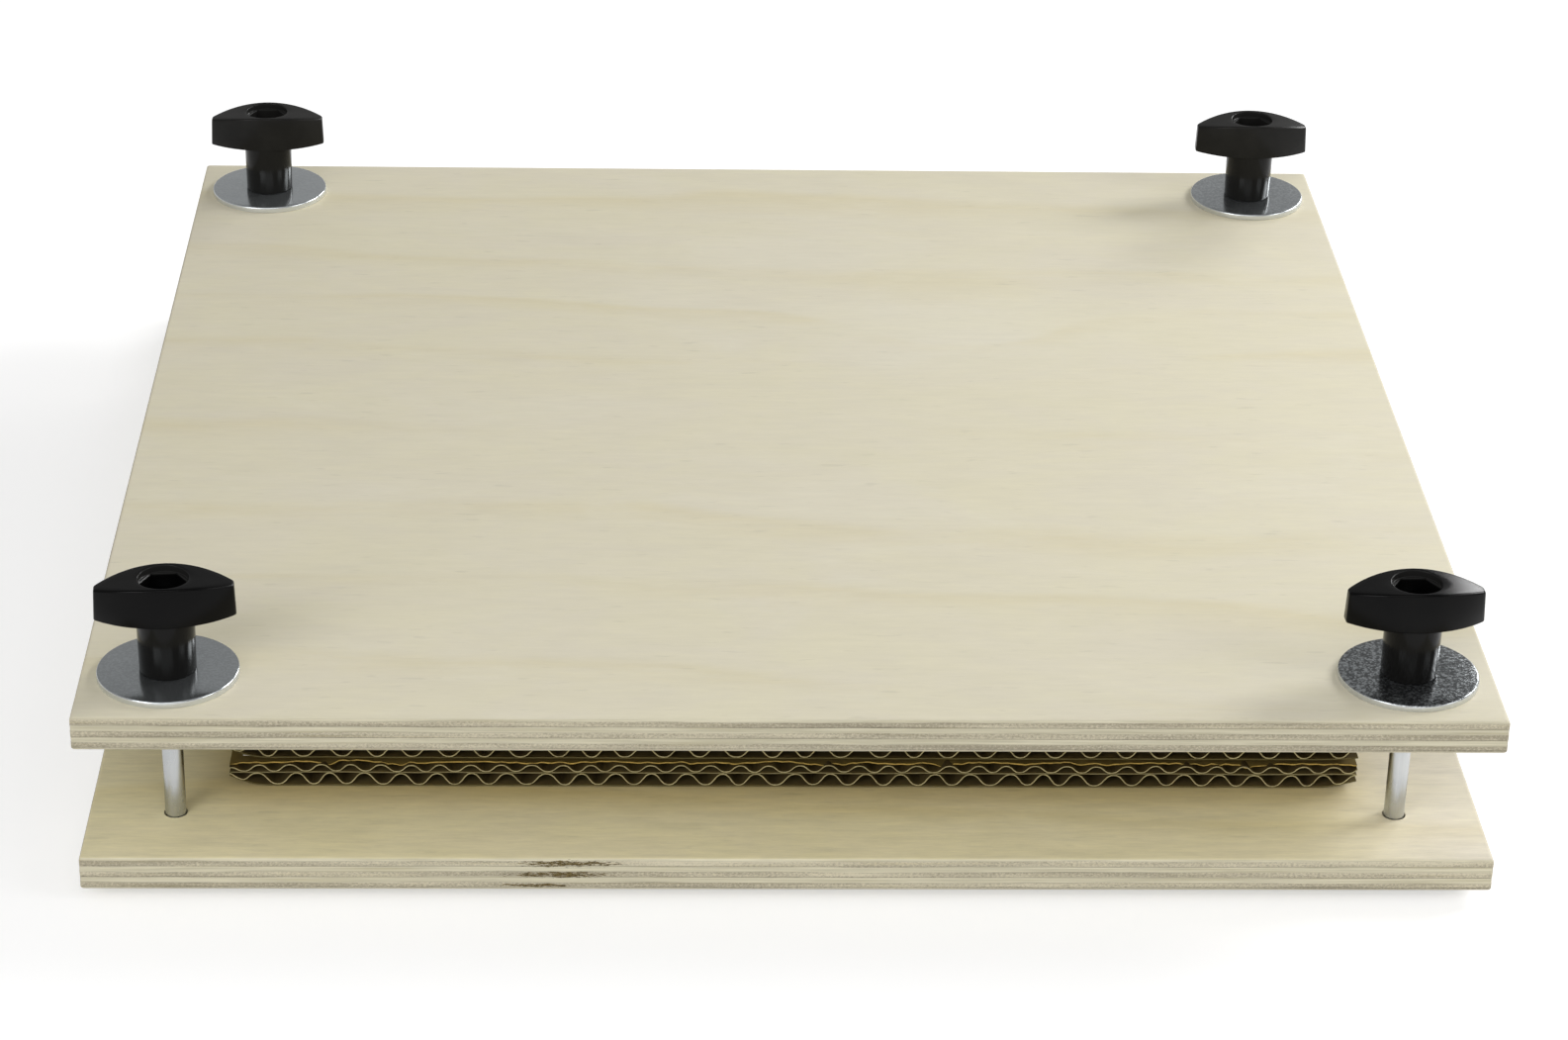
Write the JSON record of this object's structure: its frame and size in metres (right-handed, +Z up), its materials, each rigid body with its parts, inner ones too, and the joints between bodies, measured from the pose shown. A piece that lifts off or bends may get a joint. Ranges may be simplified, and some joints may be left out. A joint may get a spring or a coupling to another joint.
{
  "type": "flower press",
  "caption": "Square plywood flower press: boards drawn together by corner bolts with wing knobs, pressing corrugated cards and blotting sheets between them.",
  "frame": {"origin": "under the middle of the press, on the surface that the four bolt heads stand on", "axes": "+Z up along the bolts, the front of the press faces -Y, +X to the right seen from the front"},
  "size_m": [0.3, 0.3, 0.0681],
  "materials": {
    "plywood": "matte",
    "zinc_steel": "satin",
    "black_plastic": "satin",
    "kraft_card": "matte",
    "blotting_paper": "matte"
  },
  "bodies": {
    "base": {"lower_board": "plywood", "bolt_front_left": "zinc_steel", "bolt_front_right": "zinc_steel", "bolt_back_left": "zinc_steel", "bolt_back_right": "zinc_steel"},
    "press_plate": {"upper_board": "plywood", "washer_front_left": "zinc_steel", "washer_front_right": "zinc_steel", "washer_back_left": "zinc_steel", "washer_back_right": "zinc_steel"},
    "front_left_knob": {"knob_front_left": "black_plastic", "nut_front_left": "zinc_steel"},
    "front_right_knob": {"knob_front_right": "black_plastic", "nut_front_right": "zinc_steel"},
    "back_left_knob": {"knob_back_left": "black_plastic", "nut_back_left": "zinc_steel"},
    "back_right_knob": {"knob_back_right": "black_plastic", "nut_back_right": "zinc_steel"},
    "layer_1": {"card_1": "kraft_card", "blotter_1": "blotting_paper", "blotter_2": "blotting_paper"},
    "layer_2": {"card_2": "kraft_card", "blotter_3": "blotting_paper", "blotter_4": "blotting_paper"},
    "layer_3": {"card_3": "kraft_card", "blotter_5": "blotting_paper", "blotter_6": "blotting_paper"},
    "layer_4": {"card_4": "kraft_card"}
  },
  "joints": [
    {"name": "press_travel", "type": "slide", "parent": "base", "child": "press_plate", "axis": [0, 0, 1], "range_m": [0, 0.0112]},
    {"name": "front_left_turn", "type": "hinge", "parent": "press_plate", "child": "front_left_knob", "pos_m": [-0.1314, -0.1314, 0.0465], "axis": [0, 0, 1], "range_deg": [0, 5040]},
    {"name": "front_right_turn", "type": "hinge", "parent": "press_plate", "child": "front_right_knob", "pos_m": [0.1314, -0.1314, 0.0465], "axis": [0, 0, 1], "range_deg": [0, 5040]},
    {"name": "back_left_turn", "type": "hinge", "parent": "press_plate", "child": "back_left_knob", "pos_m": [-0.1314, 0.1314, 0.0465], "axis": [0, 0, 1], "range_deg": [0, 5040]},
    {"name": "back_right_turn", "type": "hinge", "parent": "press_plate", "child": "back_right_knob", "pos_m": [0.1314, 0.1314, 0.0465], "axis": [0, 0, 1], "range_deg": [0, 5040]},
    {"name": "layer_1_slide", "type": "slide", "parent": "base", "child": "layer_1", "axis": [0, -1, 0], "range_m": [0, 0.24]},
    {"name": "layer_2_slide", "type": "slide", "parent": "base", "child": "layer_2", "axis": [0, -1, 0], "range_m": [0, 0.24]},
    {"name": "layer_3_slide", "type": "slide", "parent": "base", "child": "layer_3", "axis": [0, -1, 0], "range_m": [0, 0.24]},
    {"name": "layer_4_slide", "type": "slide", "parent": "base", "child": "layer_4", "axis": [0, -1, 0], "range_m": [0, 0.24]}
  ],
  "couplings": [
    {"joint": "front_left_turn", "follows": "press_travel", "rad_per_m": 7854},
    {"joint": "front_right_turn", "follows": "press_travel", "rad_per_m": 7854},
    {"joint": "back_left_turn", "follows": "press_travel", "rad_per_m": 7854},
    {"joint": "back_right_turn", "follows": "press_travel", "rad_per_m": 7854}
  ]
}
